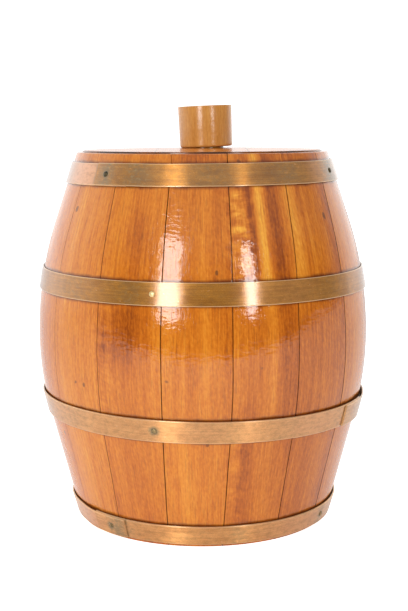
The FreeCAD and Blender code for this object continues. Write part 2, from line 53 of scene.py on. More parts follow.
STAVE_COUNT = 16
STAVE_STEP = 2 * math.pi / STAVE_COUNT
FIRST_STAVE_BEARING = -1.85
STAVE_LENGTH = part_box("stave_01")[1].z
WALL = 0.012
RIM_RADIUS = 0.0989
BASE_RADIUS = 0.1014
BILGE_RADIUS = 0.1316
BILGE_HEIGHT = 0.147
UPPER_CURVE = 0.285
LOWER_CURVE = 0.244
RABBET_RADIUS = 0.0943
RABBET_DEPTH = 0.008
CROZE_RADIUS = 0.0984
CROZE_LOW = 0.014
CROZE_HIGH = 0.0204
CHIME_HEIGHT = 0.008
SOLE_WIDTH = 0.0056
LID_JOINT = 0.034  # the lid's boards meet this far to either side of the middle
LID_RADIUS = 0.0930

STRIP_THICKNESS = 0.0012
LAP_LENGTH = 0.030
HOOP_STEPS = 420
UPPER_HOOPS = ("hoop_top", "hoop_upper_bilge")

# A hoop's edge heights and the inner radii there, its tilt in degrees with the +X side down, the
# bearing of its outer end, the way the strip runs from that end, and its nails' bearings.
Hoop = namedtuple("Hoop", "low high low_radius high_radius tilt outer_end way nails")
HOOPS = {
    "hoop_top": Hoop(0.2680, 0.2840, 0.1071, 0.1017, -0.35, -46.8, 1, (-41.2, 67.0, 180.0)),
    "hoop_upper_bilge": Hoop(0.1853, 0.2020, 0.1294, 0.1266, 0.10, 157.4, 1, (-16.0, 104.0, -136.0)),
    "hoop_lower_bilge": Hoop(0.0858, 0.1026, 0.1247, 0.1288, 0.70, 56.6, 1, (-16.0, 104.0, -136.0)),
    "hoop_base": Hoop(0.0026, 0.0176, 0.1025, 0.1069, 0.30, -33.6, -1, (-41.2, 60.0, 172.0)),
}

STOPPER_LEAN = 2.2
STOPPER_SEAT = Vector((0.0034, 0.0, STAVE_LENGTH + 0.00339))

# ---------------------------------------------------------------- small mesh tools


def rounded(points, radii, steps=4):
    """A closed outline with the named corners eased by short curves."""
    out = []
    count = len(points)
    for i, corner in enumerate(points):
        radius = radii.get(i, 0.0)
        if radius == 0.0:
            out.append(corner)
            continue
        before = np.subtract(points[i - 1], corner)
        after = np.subtract(points[(i + 1) % count], corner)
        start = np.add(corner, before / np.linalg.norm(before) * radius)
        end = np.add(corner, after / np.linalg.norm(after) * radius)
        for t in np.linspace(0.0, 1.0, steps + 1):
            out.append(tuple(start * (1 - t) ** 2 + np.multiply(corner, 2 * t * (1 - t)) + end * t**2))
    return np.array(out)


def outline_normals(outline):
    """Outward normals of a closed outline that runs anticlockwise."""
    along = np.roll(outline, -1, axis=0) - np.roll(outline, 1, axis=0)
    along /= np.linalg.norm(along, axis=1)[:, None]
    return np.stack([along[:, 1], -along[:, 0]], axis=1)


def swept_faces(rows, columns, closed_sweep=False):
    """Quads between the rows of a swept outline of columns points, with caps at open ends."""
    faces = []
    spans = rows if closed_sweep else rows - 1
    for j in range(spans):
        a = j * columns
        b = ((j + 1) % rows) * columns
        for i in range(columns):
            k = (i + 1) % columns
            faces.append((a + i, b + i, b + k, a + k))
    if not closed_sweep:
        faces.append(tuple(range(columns)))
        faces.append(tuple(reversed(range((rows - 1) * columns, rows * columns))))
    return faces


def make_piece(name, points, faces, body, attributes=None):
    """A smooth-shaded mesh object that rides on a body."""
    mesh = bpy.data.meshes.new(name)
    mesh.from_pydata([tuple(p) for p in points], [], faces)
    for key, values in (attributes or {}).items():
        layer = mesh.attributes.new(key, "FLOAT_VECTOR", "POINT")
        layer.data.foreach_set("vector", np.asarray(values, np.float32).ravel())
    mesh.validate()
    mesh.shade_smooth()
    mesh.set_sharp_from_angle(angle=math.radians(35))
    piece = bpy.data.objects.new(name, mesh)
    bpy.context.scene.collection.objects.link(piece)
    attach(piece, body)
    return piece


def direction(bearing):
    """Unit vectors for a bearing array in radians: x and y away from the axis."""
    return np.sin(bearing), -np.cos(bearing)


def ripple(position, seed, amplitude, wavelength):
    """A smooth irregular wave, the same for the same seed."""
    rng = random.Random(seed)
    total = np.zeros_like(np.asarray(position, float))
    for share, stretch in ((0.5, 1.0), (0.3, 0.53), (0.2, 0.23)):
        phase = rng.uniform(0, 2 * math.pi)
        total += share * np.sin(2 * math.pi * position / (wavelength * stretch) + phase)
    return total * amplitude


# ---------------------------------------------------------------- material tools


class Nodes:
    """Short hands for building a node tree."""

    def __init__(self, tree):
        self.tree = tree

    def feed(self, socket, value):
        if isinstance(value, bpy.types.NodeSocket):
            self.tree.links.new(value, socket)
        else:
            socket.default_value = value

    def node(self, kind, inputs, **settings):
        node = self.tree.nodes.new(kind)
        for key, value in settings.items():
            setattr(node, key, value)
        for key, value in inputs.items():
            self.feed(node.inputs[key], value)
        return node

    def attribute(self, name):
        return self.node("ShaderNodeAttribute", {}, attribute_name=name).outputs["Vector"]

    def object_coordinates(self, turn=(0.0, 0.0, 0.0)):
        place = self.node("ShaderNodeTexCoord", {}).outputs["Object"]
        return self.node("ShaderNodeMapping", {"Vector": place, "Rotation": turn}).outputs["Vector"]

    def split(self, vector):
        return self.node("ShaderNodeSeparateXYZ", {"Vector": vector}).outputs

    def stretch(self, vector, scale):
        return self.node(
            "ShaderNodeVectorMath", {0: vector, 1: scale}, operation="MULTIPLY"
        ).outputs["Vector"]

    def shift(self, vector, amount):
        return self.node(
            "ShaderNodeVectorMath", {0: vector, 1: amount}, operation="ADD"
        ).outputs["Vector"]

    def noise(self, vector, scale, detail=3.0, roughness=0.5, output="Fac"):
        """Noise over coordinates stretched by scale, in cycles a metre."""
        inputs = {
            "Vector": self.stretch(vector, scale),
            "Scale": 1.0,
            "Detail": detail,
            "Roughness": roughness,
        }
        return self.node("ShaderNodeTexNoise", inputs).outputs[output]

    def math(self, operation, a, b=0.0):
        return self.node("ShaderNodeMath", {0: a, 1: b}, operation=operation).outputs[0]

    def total(self, *values):
        return reduce(lambda a, b: self.math("ADD", a, b), values)

    def remap(self, value, low, high, to_low=0.0, to_high=1.0, interpolation="LINEAR"):
        inputs = {
            "Value": value,
            "From Min": low,
            "From Max": high,
            "To Min": to_low,
            "To Max": to_high,
        }
        node = self.node("ShaderNodeMapRange", inputs, clamp=True, interpolation_type=interpolation)
        return node.outputs[0]

    def mix(self, factor, a, b, blend="MIX"):
        node = self.node("ShaderNodeMix", {0: factor, 6: a, 7: b}, data_type="RGBA", blend_type=blend)
        return node.outputs[2]

    def ramp(self, value, stops):
        node = self.node("ShaderNodeValToRGB", {"Fac": value})
        elements = node.color_ramp.elements
        while len(elements) < len(stops):
            elements.new(0.5)
        for element, (position, colour) in zip(elements, stops):
            element.position = position
            element.color = (*colour, 1.0)
        return node.outputs["Color"]

    def bump(self, height, distance, normal=None):
        inputs = {"Height": height, "Distance": distance, "Strength": 1.0}
        if normal is not None:
            inputs["Normal"] = normal
        return self.node("ShaderNodeBump", inputs).outputs["Normal"]


class Shader(Nodes):
    """The nodes of one new material."""

    def __init__(self, name):
        self.material = bpy.data.materials.new(name)
        self.material.use_nodes = True
        super().__init__(self.material.node_tree)
        self.surface = self.tree.nodes["Principled BSDF"]

    def set(self, **values):
        for key, value in values.items():
            self.feed(self.surface.inputs[key.replace("_", " ")], value)


def put(piece, material):
    piece.data.materials.clear()
    piece.data.materials.append(material)


# ---------------------------------------------------------------- wood


def wood_pattern(s, grain, tone, figure, tones):
    """Colour, fibres and pores of oak in grain coordinates: z along the fibres, xy across the rings.

    tone shifts the whole along the ramp of tones, and figure is the strength of curly grain.
    """
    wander = s.noise(grain, (16.0, 16.0, 3.0), 2.0, output="Color")
    wander = s.shift(wander, (-0.5, -0.5, -0.5))
    bent = s.shift(grain, s.stretch(wander, (0.006, 0.006, 0.0)))
    broad = s.noise(bent, (60.0, 60.0, 3.0), 2.0)
    streaks = s.noise(bent, (330.0, 330.0, 11.0), 4.0, 0.6)
    fibres = s.noise(bent, (1000.0, 1000.0, 40.0), 3.0, 0.6)
    x, _, _ = s.split(bent)
    ring_count = s.math("ADD", s.math("MULTIPLY", x, 330.0), s.math("MULTIPLY", broad, 6.0))
    rings = s.math("SINE", s.math("MULTIPLY", ring_count, 6.283))
    mottle = s.noise(grain, (620.0, 620.0, 330.0), 2.0)
    dashes = s.noise(bent, (780.0, 780.0, 130.0), 3.0, 0.65)
    curl_place = s.shift(bent, s.stretch(wander, (0.0, 0.0, 0.012)))
    curl = s.noise(curl_place, (70.0, 70.0, 210.0), 2.0, 0.5)
    value = s.total(
        s.remap(streaks, 0.3, 0.7, 0.10, 0.27),
        s.remap(broad, 0.3, 0.7, 0.01, 0.17),
        s.remap(fibres, 0.3, 0.7, 0.08, 0.26),
        s.remap(dashes, 0.3, 0.7, -0.07, 0.07),
        s.remap(mottle, 0.3, 0.7, -0.08, 0.08),
        s.math("MULTIPLY", rings, 0.02),
        tone,
        s.math("MULTIPLY", s.remap(curl, 0.35, 0.68, -0.35, 0.35), figure),
    )
    colour = s.ramp(value, tones)
    pores = s.noise(grain, (1700.0, 1700.0, 90.0), 1.0)
    pore_mask = s.remap(pores, 0.60, 0.72)
    colour = s.mix(s.math("MULTIPLY", pore_mask, 0.32), colour, (0.16, 0.055, 0.015, 1.0))
    return colour, fibres, pore_mask


# Ramps of tones from late wood to early wood: place on the ramp, colour.
VARNISHED_TONES = [
    (0.05, (0.240, 0.050, 0.005)),
    (0.28, (0.430, 0.105, 0.008)),
    (0.48, (0.560, 0.165, 0.013)),
    (0.68, (0.650, 0.230, 0.022)),
    (0.95, (0.790, 0.380, 0.042)),
]
STOPPER_TONES = [
    (0.05, (0.300, 0.090, 0.015)),
    (0.30, (0.430, 0.150, 0.028)),
    (0.52, (0.530, 0.220, 0.045)),
    (0.95, (0.680, 0.340, 0.090)),
]
BARE_TONES = [
    (0.05, (0.24, 0.125, 0.052)),
    (0.30, (0.41, 0.235, 0.105)),
    (0.55, (0.56, 0.350, 0.165)),
    (0.95, (0.72, 0.490, 0.260)),
]


def varnish_bumps(s, place):
    """Orange peel and slow waves in a brushed varnish."""
    waves = s.bump(s.noise(place, (60.0, 60.0, 45.0), 1.0), 0.00022)
    return s.bump(s.noise(place, (190.0, 190.0, 390.0), 2.0), 0.00013, waves)


def hoop_shade_and_grime(s, place):
    """Painted contact shade in the corners above and below every hoop, together with some dark old
    varnish and dirt.
    """
    x, _, z = s.split(place)
    uneven = s.remap(s.noise(place, (70.0, 70.0, 20.0), 3.0), 0.3, 0.7, -0.0007, 0.0007)
    shade_and_grime = 0.0
    for hoop in HOOPS.values():
        level = s.math("ADD", s.math("MULTIPLY", x, math.tan(math.radians(hoop.tilt))), z)
        above = s.math("ADD", s.math("SUBTRACT", level, hoop.high), uneven)
        below = s.math("ADD", s.math("SUBTRACT", hoop.low, level), uneven)
        away = s.math("MAXIMUM", above, s.math("ADD", below, 0.0005))
        shade_and_grime = s.math("MAXIMUM", s.remap(away, 0.0002, 0.0024, 0.85, 0.0), shade_and_grime)
    return shade_and_grime


def specked(s, place, colour):
    """Small dark pin knots."""
    specks = s.noise(place, (150.0, 150.0, 110.0), 0.0)
    return s.mix(s.remap(specks, 0.845, 0.875, 0.0, 0.7), colour, (0.08, 0.03, 0.012, 1.0))


def varnished(s, place, colour, fibres, pores, coat, coat_roughness):
    """Puts a clear gloss coat over coloured wood and returns the material."""
    gloss = varnish_bumps(s, place)
    grained = s.math("SUBTRACT", fibres, pores)
    s.set(Base_Color=colour, Roughness=s.remap(fibres, 0.2, 0.8, 0.34, 0.50), Specular_IOR_Level=0.0)
    s.set(Normal=s.bump(grained, 0.00003, gloss), Coat_Normal=s.bump(grained, 0.000012, gloss))
    s.set(Coat_Weight=coat, Coat_Roughness=coat_roughness, Coat_IOR=1.5)
    return s.material


def stave_wood():
    """Varnished outside and bare inside, drawn from the staves' grain, marks and face attributes."""
    s = Shader("varnished_oak_staves")
    place = s.object_coordinates()
    tone, seam_and_rabbet_shade, figure = s.split(s.attribute("marks"))
    inside, _, _ = s.split(s.attribute("face"))
    colour, fibres, pores = wood_pattern(s, s.attribute("grain"), tone, figure, VARNISHED_TONES)
    colour = specked(s, place, colour)
    colour = s.mix(s.math("MULTIPLY", inside, 0.75), colour, (0.21, 0.105, 0.045, 1.0))
    # Painted contact shade, with some dirt, on the staves above and below the hoops.
    colour = s.mix(hoop_shade_and_grime(s, place), colour, (0.105, 0.022, 0.006, 1.0))
    # Dark seams between the staves, and painted shade in the rabbet.
    colour = s.mix(s.remap(seam_and_rabbet_shade, 0.10, 0.40, 0.97, 0.0), colour, (0.040, 0.009, 0.003, 1.0))
    coat = s.math("MULTIPLY", s.remap(seam_and_rabbet_shade, 0.16, 0.34), s.math("SUBTRACT", 1.0, inside))
    return varnished(s, place, colour, fibres, pores, coat, 0.07)


# Moves pieces cut from object coordinates away from the origin of the noise.
GRAIN_START = (0.213, 0.117, 0.371)


def lid_wood(board):
    """Varnished lid board, -1 left to 1 right, with painted shade and some dirt round the rim, and dirt
    in the joints.
    """
    s = Shader(f"varnished_lid_{board}")
    place = s.object_coordinates()
    grain = s.shift(s.object_coordinates((math.pi / 2, 0.0, 0.3 * board)), GRAIN_START)
    colour, fibres, pores = wood_pattern(s, grain, 0.05 * board, 0.0, VARNISHED_TONES)
    colour = specked(s, place, colour)
    level = s.stretch(place, (1.0, 1.0, 0.0))
    radius = s.node("ShaderNodeVectorMath", {0: level}, operation="LENGTH").outputs["Value"]
    worn = s.noise(place, (120.0, 120.0, 20.0), 2.0)
    rim = s.math("SUBTRACT", radius, s.remap(worn, 0.3, 0.7, -0.0004, 0.0006))
    patchy = s.remap(s.noise(place, (28.0, 28.0, 5.0), 1.0), 0.35, 0.6, 0.35, 0.95)
    # Painted shade, with some dirt, in a broken ring round the lid's edge next to the rim.
    rim_shade_and_dirt = s.math("MULTIPLY", s.remap(rim, LID_RADIUS - 0.0008, LID_RADIUS), patchy)
    colour = s.mix(rim_shade_and_dirt, colour, (0.035, 0.012, 0.006, 1.0))
    x, _, _ = s.split(place)
    joint = s.math("ABSOLUTE", s.math("SUBTRACT", s.math("ABSOLUTE", x), LID_JOINT))
    colour = s.mix(s.remap(joint, 0.0002, 0.0006, 0.8, 0.0), colour, (0.06, 0.02, 0.008, 1.0))
    return varnished(s, place, colour, fibres, pores, 1.0, 0.20)


def stopper_wood():
    s = Shader("varnished_stopper")
    place = s.object_coordinates()
    grain = s.shift(s.object_coordinates((0.0, 0.0, 0.4)), GRAIN_START)
    colour, fibres, pores = wood_pattern(s, grain, 0.28, 0.0, STOPPER_TONES)
    return varnished(s, place, specked(s, place, colour), fibres, pores, 1.0, 0.21)


def bare_wood(name, turned_from, tone=0.0):
    """Planed oak with no varnish."""
    s = Shader(name)
    grain = s.shift(s.object_coordinates(turned_from), GRAIN_START)
    colour, fibres, pores = wood_pattern(s, grain, tone, 0.0, BARE_TONES)
    s.set(Base_Color=colour, Roughness=s.remap(fibres, 0.2, 0.8, 0.55, 0.75))
    s.set(Normal=s.bump(s.math("SUBTRACT", fibres, pores), 0.00008))
    return s.material


# ---------------------------------------------------------------- staves


def bend_angle(curve, end_radius, end_height):
    """Angle on the bilge arc where the stave's straight end leaves it."""
    run = end_radius - (BILGE_RADIUS - curve)
    rise = abs(end_height - BILGE_HEIGHT)
    return math.atan2(rise, run) - math.acos(curve / math.hypot(run, rise))


UPPER_BEND = bend_angle(UPPER_CURVE, RIM_RADIUS, STAVE_LENGTH)
LOWER_BEND = bend_angle(LOWER_CURVE, BASE_RADIUS, 0.0)


def wall_radius(height, inset=0.0):
    """Radius of the staves' outer face, or of a surface inset from it, at a height."""
    upper = height > BILGE_HEIGHT
    curve, bend = (UPPER_CURVE, UPPER_BEND) if upper else (LOWER_CURVE, LOWER_BEND)
    rise = abs(height - BILGE_HEIGHT)
    centre = BILGE_RADIUS - curve
    if rise < (curve - inset) * math.sin(bend):
        return centre + math.sqrt((curve - inset) ** 2 - rise**2)
    start = centre + (curve - inset) * math.cos(bend)
    return start - (rise - (curve - inset) * math.sin(bend)) * math.tan(bend)


def stave_section():
    """Closed outline (radius, height), anticlockwise, with eased corners."""
    seat = STAVE_LENGTH - RABBET_DEPTH
    outer = [(wall_radius(z), z) for z in np.linspace(0.0, STAVE_LENGTH, 86)]
    rim = [(RABBET_RADIUS, STAVE_LENGTH), (RABBET_RADIUS, seat)]
    inner = [(wall_radius(z, WALL), z) for z in np.linspace(seat, CROZE_HIGH, 36)]
    groove = [
        (CROZE_RADIUS, CROZE_HIGH),
        (CROZE_RADIUS, CROZE_LOW),
        (wall_radius(CROZE_LOW, WALL), CROZE_LOW),
        (wall_radius(CROZE_LOW, WALL) - 0.0008, CHIME_HEIGHT),
        (BASE_RADIUS - SOLE_WIDTH, 0.0),
    ]
    points = outer + rim + inner + groove
    last = len(outer) - 1
    ease = {0: 0.0009, last: 0.0011, last + 1: 0.0006, last + 3: 0.0004, len(points) - 1: 0.0005}
    return rounded(points, ease)


# Bands in the oak: bearing and half width in degrees, low and high end, and how
# much lighter (+) or redder and darker (-) the wood is.
WOOD_BANDS = [
    (21.5, 2.0, 0.190, 0.300, 0.52),
    (22.5, 1.6, 0.100, 0.200, 0.18),
    (17.8, 1.2, 0.205, 0.285, -0.42),
    (26.0, 2.6, 0.205, 0.300, -0.16),
    (13.0, 2.6, 0.195, 0.262, 0.16),
    (28.5, 3.0, 0.080, 0.300, -0.10),
    (35.2, 3.4, 0.185, 0.275, 0.40),
    (39.3, 0.7, 0.200, 0.300, -0.16),
    (41.5, 1.4, 0.180, 0.250, 0.12),
    (-21.5, 4.2, 0.170, 0.250, -0.14),
    (-27.0, 8.5, 0.141, 0.182, -0.26),
    (-31.5, 1.2, 0.030, 0.290, 0.06),
    (-52.0, 6.0, 0.020, 0.280, 0.10),
    (-6.0, 3.0, 0.010, 0.090, 0.14),
    (0.5, 2.2, 0.100, 0.290, 0.10),
    (5.5, 2.0, 0.100, 0.290, -0.06),
    (14.0, 3.0, 0.010, 0.120, -0.08),
    (-3.0, 6.0, 0.280, 0.300, -0.30),
    (45.0, 6.0, 0.010, 0.130, 0.06),
    (46.0, 7.0, 0.205, 0.290, 0.15),
    (63.0, 5.0, 0.100, 0.280, 0.08),
]
# Patches of curly grain, given in the same way.
FIGURED = [
    (13.5, 4.2, 0.195, 0.275, 1.0),
    (-33.0, 3.0, 0.100, 0.200, 0.3),
    (12.0, 4.0, 0.020, 0.100, 0.3),
]


def painted(bands, bearing, height):
    """Sum of soft-edged bands at bearings in degrees and heights."""
    total = np.zeros_like(bearing)
    for centre, half, low, high, strength in bands:
        across = np.exp(-(((bearing - centre) / half) ** 2))
        ends = 1 / (1 + np.exp(-(height - low) / 0.005)) / (1 + np.exp((height - high) / 0.005))
        total += strength * across * ends
    return total


ARRIS = 0.0003
ARRIS_STEPS = np.array([0.0, 0.12, 0.35, 0.65, 1.0])
ACROSS_STEPS = 18
# Each stave's left seam, number 1 first: half of the narrowest gap in mm, how far in degrees the
# seam strays from an even division at the rim and at the foot, and how far varnish fills it at
# the rim, in mm.
SEAMS = [
    (0.07, 0.4, -1.4, 0.30),
    (0.06, 0.8, -1.3, 0.00),
    (0.04, 2.8, 0.0, 0.30),
    (0.04, 3.8, 0.8, 0.22),
    (0.05, 3.0, 0.6, 0.00),
    (0.04, 1.8, 0.2, 0.25),
    (0.06, 0.6, -0.5, 0.00),
    (0.03, -0.8, 0.6, 0.00),
    (0.05, 0.5, 0.9, 0.30),
    (0.04, -0.6, -0.4, 0.00),
    (0.05, 0.3, -1.0, 0.00),
    (0.03, 0.8, 0.3, 0.25),
    (0.06, -0.9, 0.7, 0.20),
    (0.04, -0.5, 0.0, 0.00),
    (0.09, 0.0, -1.2, 0.30),
    (0.01, -0.5, -1.7, 0.30),
]
# General tone of each stave, four to a row, number 1 first.
STAVE_TONES = [
    *(0.00, -0.07, -0.16, -0.05),
    *(-0.04, 0.05, -0.02, 0.03),
    *(0.00, 0.05, -0.05, 0.02),
    *(-0.03, -0.01, 0.01, -0.02),
]


def stave_grain(number, across, depth, height):
    """Grain coordinates of one stave: its own ring angle and its own place in the tree."""
    rng = random.Random(400 + number)
    angle = rng.uniform(-0.35, 0.35)
    x = across * math.cos(angle) - depth * math.sin(angle) + rng.uniform(0.2, 3.0)
    y = across * math.sin(angle) + depth * math.cos(angle) + rng.uniform(0.2, 3.0)
    z = height + rng.uniform(0.2, 3.0) + across * rng.uniform(-0.6, 0.6)
    return np.stack([x, y, z], axis=-1)


def seam_line(number, radii, heights):
    """Bearings of a stave's left seam along the stave's section, and half of its gap there."""
    place = (number - 1) % STAVE_COUNT
    gap, at_rim, at_foot, _ = SEAMS[place]
    even = math.radians(FIRST_STAVE_BEARING) + STAVE_STEP * (number - 1.5)
    upper = np.clip((heights - 0.17) / 0.10, 0.0, 1.2) ** 1.5 * at_rim
    lower = np.clip((0.13 - heights) / 0.11, 0.0, 1.2) ** 1.3 * at_foot
    wander = ripple(heights, 30 + place, 0.00022, 0.19)
    half_gap = gap * 0.001 + np.abs(ripple(heights, 70 + place, 0.00004, 0.11))
    return even + np.radians(upper + lower) + wander / radii, half_gap / radii


def stave_columns(width):
    """Distance from a stave's left side to each column of points, and how far it is eased in."""
    near = ARRIS * ARRIS_STEPS
    ease = ARRIS - np.sqrt(ARRIS**2 - (ARRIS - near) ** 2)
    columns = [(step * np.ones_like(width), inset) for step, inset in zip(near, ease)]
    for t in (0.006, *np.linspace(0.0, 1.0, ACROSS_STEPS + 2)[1:-1], 0.994):
        columns.append((ARRIS + t * (width - 2 * ARRIS), 0.0))
    columns += [(width - step, inset) for step, inset in zip(near[::-1], ease[::-1])]
    return columns


def seam_marks_and_rabbet_shade(number, distance, width, radii, heights):
    """Millimetres to the nearer seam, more where varnish has filled it, and little in the rabbet, so the
    rabbet comes out dark as painted shade where the lid sits.
    """
    at_rim = np.clip((heights - STAVE_LENGTH + 0.009) / 0.002, 0.0, 1.0)
    left = distance * 1000.0 + at_rim * SEAMS[number - 1][3]
    right = (width - distance) * 1000.0 + at_rim * SEAMS[number % STAVE_COUNT][3]
    # The rabbet gets a small distance so it darkens: painted shade in the gap between the lid and the
    # rim.
    in_rabbet = (radii < RABBET_RADIUS + 0.0009) & (heights > STAVE_LENGTH - RABBET_DEPTH)
    return np.where(in_rabbet, 0.18, np.minimum(left, right))


def make_stave(number, section, normals, material):
    radii, heights = section.T
    centre = math.radians(FIRST_STAVE_BEARING) + STAVE_STEP * (number - 1)
    left, left_gap = seam_line(number, radii, heights)
    right, right_gap = seam_line(number + 1, radii, heights)
    left = left + left_gap
    width = (right - right_gap - left) * radii
    lean = random.Random(90 + number).uniform(-0.00010, 0.00010)
    middle = np.array([wall_radius(z, WALL / 2) for z in heights])
    outside = np.clip((radii - middle) / 0.003, 0.0, 1.0)
    depth = np.array([wall_radius(z) for z in heights]) - radii
    inside = np.clip((depth - 0.005) / 0.002, 0.0, 1.0) * (heights < STAVE_LENGTH - 0.0005)
    taper = (radii / BILGE_RADIUS) ** 0.4
    rows, grain, marks, face = [], [], [], []
    for distance, inset in stave_columns(width):
        bearing = left + distance / radii
        u = 2 * distance / width - 1
        hollow = (0.00010 * (1 - u**2) + lean * u) * outside
        r = radii - normals[:, 0] * (inset + hollow)
        z = heights - normals[:, 1] * inset
        east, north = direction(bearing)
        rows.append(np.stack([r * east, r * north, z], axis=1))
        grain.append(stave_grain(number, (bearing - centre) * BILGE_RADIUS * taper, depth, heights))
        face.append(np.stack([inside, inside, inside], axis=1))
        degrees = (np.degrees(bearing) + 180.0) % 360.0 - 180.0
        tone = painted(WOOD_BANDS, degrees, heights) + STAVE_TONES[number - 1]
        seam_and_rabbet_shade = seam_marks_and_rabbet_shade(number, distance, width, radii, heights)
        marks.append(np.stack([tone, seam_and_rabbet_shade, painted(FIGURED, degrees, heights)], axis=1))
    layers = {"grain": grain, "marks": marks, "face": face}
    attributes = {key: np.concatenate(values) for key, values in layers.items()}
    faces = swept_faces(len(rows), len(section))
    name = f"oak_stave_{number:02d}"
    piece = make_piece(name, np.concatenate(rows), faces, "barrel", attributes)
    put(piece, material)
    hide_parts(f"stave_{number:02d}")


def make_staves():
    material = stave_wood()
    section = stave_section()
    normals = outline_normals(section)
    for number in range(1, STAVE_COUNT + 1):
        make_stave(number, section, normals, material)


# ---------------------------------------------------------------- hoops and nails


def hoop_frame(hoop):
    """Foot of the strip's inner face, the ways up and out of it, and its width."""
    foot = np.array([hoop.low_radius, hoop.low])
    slope = np.array([hoop.high_radius, hoop.high]) - foot
    width = float(np.linalg.norm(slope))
    up = slope / width
    return foot, up, np.array([up[1], -up[0]]), width


def lap_rise(travelled, lap_angle):
    """How far the strip lies above the staves: one thickness over the lap, then easing down."""
    ease = lap_angle * 0.9
    t = np.clip((travelled - lap_angle) / ease, 0.0, 1.0)
    return STRIP_THICKNESS * 1.03 * (1 - t * t * (3 - 2 * t))


def tilted(points, hoop):
    """Tips points about the line along Y through the hoop's middle by the hoop's tilt."""
    middle = Vector((0, 0, (hoop.low + hoop.high) / 2))
    tip = Matrix.Rotation(math.radians(hoop.tilt), 4, "Y")
    turn = Matrix.Translation(middle) @ tip @ Matrix.Translation(-middle)
    return np.array([tuple(turn @ Vector(p)) for p in points])


def nail_seats(hoop):
    """Middle of each nail head's underside before the tilt, and the way it faces."""
    foot, up, out, width = hoop_frame(hoop)
    seats = []
    for bearing in np.radians(hoop.nails):
        travelled = (hoop.way * (bearing - math.radians(hoop.outer_end))) % (2 * math.pi)
        rise = lap_rise(travelled, LAP_LENGTH / hoop.low_radius)
        seat = foot + up * width / 2 + out * (STRIP_THICKNESS + rise)
        east, north = direction(bearing)
        place = Vector((seat[0] * east, seat[0] * north, seat[1]))
        seats.append((place, Vector((out[0] * east, out[0] * north, out[1]))))
    return seats


def nail_halos(s, place, hoops):
    """Strength of the dark ring that each nail has left on its strip."""
    halos = 0.0
    for hoop in hoops:
        seats = [seat for seat, _ in nail_seats(hoop)]
        for seat in tilted(seats, hoop):
            away = s.node("ShaderNodeVectorMath", {0: place, 1: tuple(seat)}, operation="DISTANCE")
            halo = s.remap(away.outputs["Value"], 0.0022, 0.0050, 0.95, 0.0)
            halos = s.math("MAXIMUM", halo, halos)
    return halos


def strip_metal(name, haloed, colours, shine, lacquer_ior):
    """Old brass strip: brushed round its length, mottled, stained, with worn edges painted lighter as a
    painted highlight, and a painted shade line beside the lap's step.

    colours are the base, the deep tone of its mottling and the pink of its coppery lengths.
    """
    base, deep, pink = colours
    s = Shader(name)
    along, across, copper = s.split(s.attribute("strip"))
    patina, edge_wear_and_sheen, lap_step_shade = s.split(s.attribute("wear_shade_and_sheen"))
    flat = s.node("ShaderNodeCombineXYZ", {"X": along, "Y": across, "Z": 0.0}).outputs[0]
    brushing = s.noise(flat, (26.0, 760.0, 1.0), 4.0, 0.7)
    fine = s.noise(flat, (45.0, 3200.0, 1.0), 2.0)
    clouds = s.noise(flat, (40.0, 90.0, 1.0), 4.0, 0.65)
    blotches = s.noise(s.shift(flat, (1.3, 0.7, 0.0)), (190.0, 300.0, 1.0), 4.0, 0.7)
    flecks = s.noise(s.shift(flat, (2.1, 1.7, 0.0)), (330.0, 480.0, 1.0), 3.0, 0.6)
    speckle = s.noise(flat, (1500.0, 1500.0, 1.0), 2.0)
    tone = s.total(
        s.remap(clouds, 0.35, 0.65, 0.0, 0.55),
        s.remap(brushing, 0.3, 0.7, -0.1, 0.55),
        s.remap(speckle, 0.3, 0.7, -0.25, 0.25),
    )
    colour = s.mix(tone, deep, base)
    colour = s.mix(s.math("MULTIPLY", copper, 0.85), colour, pink)
    spots = s.remap(blotches, 0.46, 0.68, 0.0, 0.40)
    colour = s.mix(spots, colour, (0.27, 0.125, 0.035, 1.0))
    halos = nail_halos(s, s.object_coordinates(), haloed)
    halos = s.math("MULTIPLY", halos, s.remap(flecks, 0.32, 0.5, 0.35, 1.0))
    stain = s.math("MAXIMUM", s.math("MULTIPLY", patina, s.remap(blotches, 0.34, 0.52)), halos)
    colour = s.mix(stain, colour, (0.210, 0.155, 0.075, 1.0))
    verdigris = s.math("MULTIPLY", s.math("ADD", stain, 0.10), s.remap(flecks, 0.54, 0.66, 0.0, 0.5))
    colour = s.mix(verdigris, colour, (0.46, 0.37, 0.17, 1.0))
    colour = s.mix(s.remap(blotches, 0.27, 0.36, 0.55, 0.0), colour, (0.85, 0.60, 0.33, 1.0))
    # Edges painted lighter: partly worn brass, partly a painted highlight.
    colour = s.mix(s.math("MULTIPLY", edge_wear_and_sheen, 0.6), colour, (0.90, 0.60, 0.32, 1.0))
    # Painted shade along the step at the lap's outer end.
    colour = s.mix(lap_step_shade, colour, (0.10, 0.045, 0.015, 1.0))
    rough = s.remap(s.math("ADD", clouds, s.math("MULTIPLY", spots, 0.3)), 0.3, 0.7, 0.32, 0.48)
    rough = s.math("ADD", rough, s.math("MULTIPLY", stain, 0.2))
    dents = s.bump(s.noise(flat, (60.0, 60.0, 1.0), 1.0), 0.00014)
    scored = s.bump(brushing, 0.00002, dents)
    pitted = s.bump(blotches, 0.00003, scored)
    metallic = s.math("SUBTRACT", shine, s.math("MULTIPLY", stain, 0.5))
    tangent = s.node("ShaderNodeTangent", {}, direction_type="RADIAL", axis="Z").outputs[0]
    s.set(Base_Color=colour, Metallic=metallic, Roughness=rough)
    s.set(Normal=s.bump(fine, 0.000008, pitted), Tangent=tangent)
    s.set(Anisotropic=0.95, Anisotropic_Rotation=0.25)
    s.set(Specular_IOR_Level=0.0, Specular_Tint=(0.45, 0.42, 0.42, 1.0))
    s.set(Coat_Weight=1.0, Coat_Roughness=0.15, Coat_IOR=lacquer_ior, Coat_Normal=dents)
    return s.material


